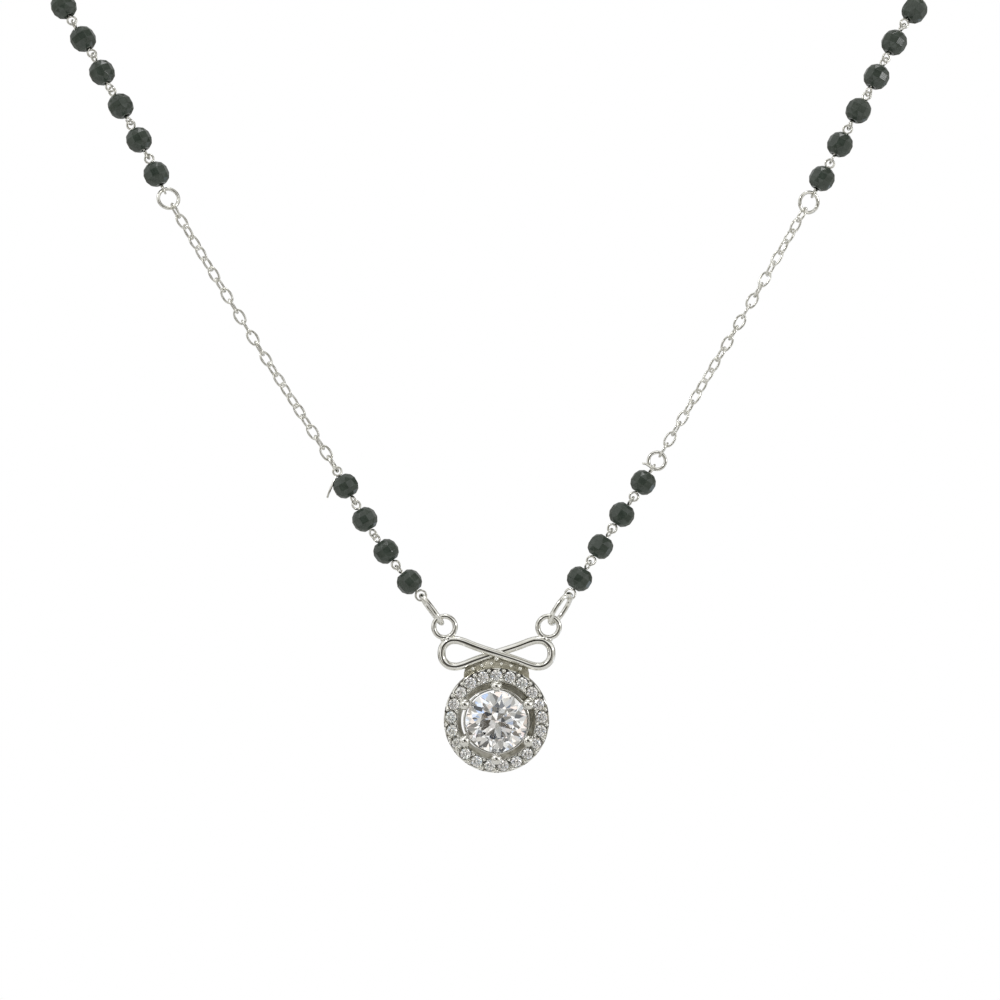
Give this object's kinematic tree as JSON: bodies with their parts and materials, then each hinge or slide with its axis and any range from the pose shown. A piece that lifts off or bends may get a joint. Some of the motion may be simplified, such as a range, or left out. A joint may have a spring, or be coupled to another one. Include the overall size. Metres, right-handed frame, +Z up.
{
  "type": "mangalsutra necklace",
  "caption": "Fine silver cable chain necklace with groups of black faceted beads and a swinging round halo pendant under a bow of crossed wire",
  "frame": {"origin": "the nape: the middle of the clasp, where the back of the loop sits on the back of the neck", "axes": "+Z up, the front of the necklace faces -Y, +X is to the viewer's right"},
  "size_m": [0.1132, 0.1031, 0.1245],
  "materials": {
    "silver": "polished",
    "black_bead": "gloss",
    "clear_stone": "polished"
  },
  "bodies": {
    "strands": {"lower_bead_left_1": "black_bead", "lower_bead_left_2": "black_bead", "lower_bead_left_3": "black_bead", "lower_bead_left_4": "black_bead", "lower_bead_right_1": "black_bead", "lower_bead_right_2": "black_bead", "lower_bead_right_3": "black_bead", "lower_bead_right_4": "black_bead", "upper_bead_left_1": "black_bead", "upper_bead_left_2": "black_bead", "upper_bead_left_3": "black_bead", "upper_bead_left_4": "black_bead", "upper_bead_left_5": "black_bead", "upper_bead_left_6": "black_bead", "upper_bead_left_7": "black_bead", "upper_bead_left_8": "black_bead", "upper_bead_right_1": "black_bead", "upper_bead_right_2": "black_bead", "upper_bead_right_3": "black_bead", "upper_bead_right_4": "black_bead", "upper_bead_right_5": "black_bead", "upper_bead_right_6": "black_bead", "upper_bead_right_7": "black_bead", "upper_bead_right_8": "black_bead", "oval_ring_left": "silver", "oval_ring_right": "silver", "lower_wires_left": "silver", "lower_wires_right": "silver", "lower_ring_left": "silver", "lower_ring_right": "silver", "chain_left": "silver", "chain_right": "silver", "upper_ring_left": "silver", "upper_ring_right": "silver", "upper_wires_left": "silver", "upper_wires_right": "silver", "rear_ring_left": "silver", "rear_ring_right": "silver", "back_chain_left": "silver", "back_chain_right": "silver", "clasp": "silver", "end_ring": "silver"},
    "pendant": {"pendant_frame": "silver", "centre_stone": "clear_stone", "halo_stones": "clear_stone"}
  },
  "joints": [
    {"name": "pendant_swing", "type": "hinge", "parent": "strands", "child": "pendant", "pos_m": [0, -0.099, -0.10611], "axis": [1, 0, 0], "range_deg": [-75, 10]}
  ]
}
